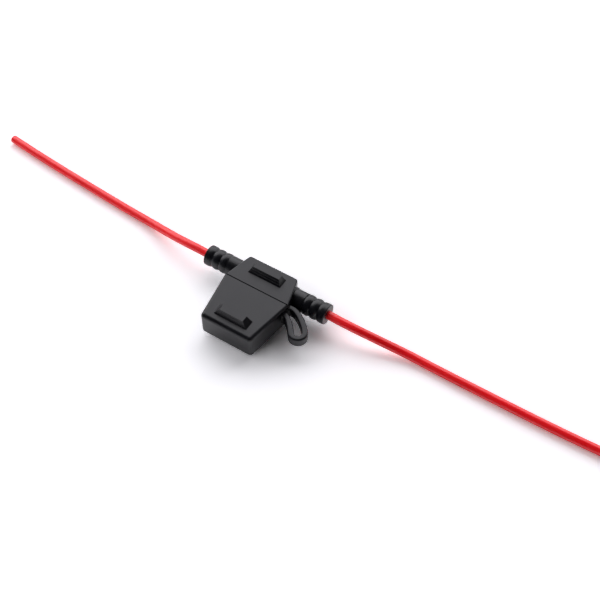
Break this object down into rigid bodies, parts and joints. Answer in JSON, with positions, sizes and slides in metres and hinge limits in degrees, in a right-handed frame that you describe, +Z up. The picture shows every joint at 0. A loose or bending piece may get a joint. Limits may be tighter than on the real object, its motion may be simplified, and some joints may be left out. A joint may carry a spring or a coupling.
{
  "type": "inline fuse holder",
  "caption": "Inline blade fuse holder: black moulded body with ribbed tubes, pull-off cap on a hairpin tether, and a red lead out of each side.",
  "frame": {"origin": "middle of the holder's footprint, on the surface that it lies on", "axes": "+X along the two ribbed tubes, +Y from the cap towards the body, +Z up through the housing's thickness"},
  "size_m": [0.2362, 0.0345, 0.0128],
  "materials": {
    "black_soft_plastic": "moulded soft PVC, satin",
    "red_insulation": "extruded PVC, satin gloss",
    "tinned_brass": "stamped and tin plated",
    "zinc": "punched zinc alloy",
    "copper": "bare drawn copper strands",
    "fuse_plastic": "clear coloured moulding"
  },
  "bodies": {
    "holder": {"holder_body": "black_soft_plastic", "tether": "black_soft_plastic", "terminal_left": "tinned_brass", "terminal_right": "tinned_brass", "fuse_body": "fuse_plastic", "fuse_element": "zinc", "core_left": "copper", "core_right": "copper", "lead_left": "red_insulation", "lead_right": "red_insulation"},
    "cap": {"cap": "black_soft_plastic"}
  },
  "joints": [
    {"name": "cap_pull", "type": "slide", "parent": "holder", "child": "cap", "axis": [0, -1, 0], "range_m": [0, 0.018], "deforming": ["tether"]}
  ]
}
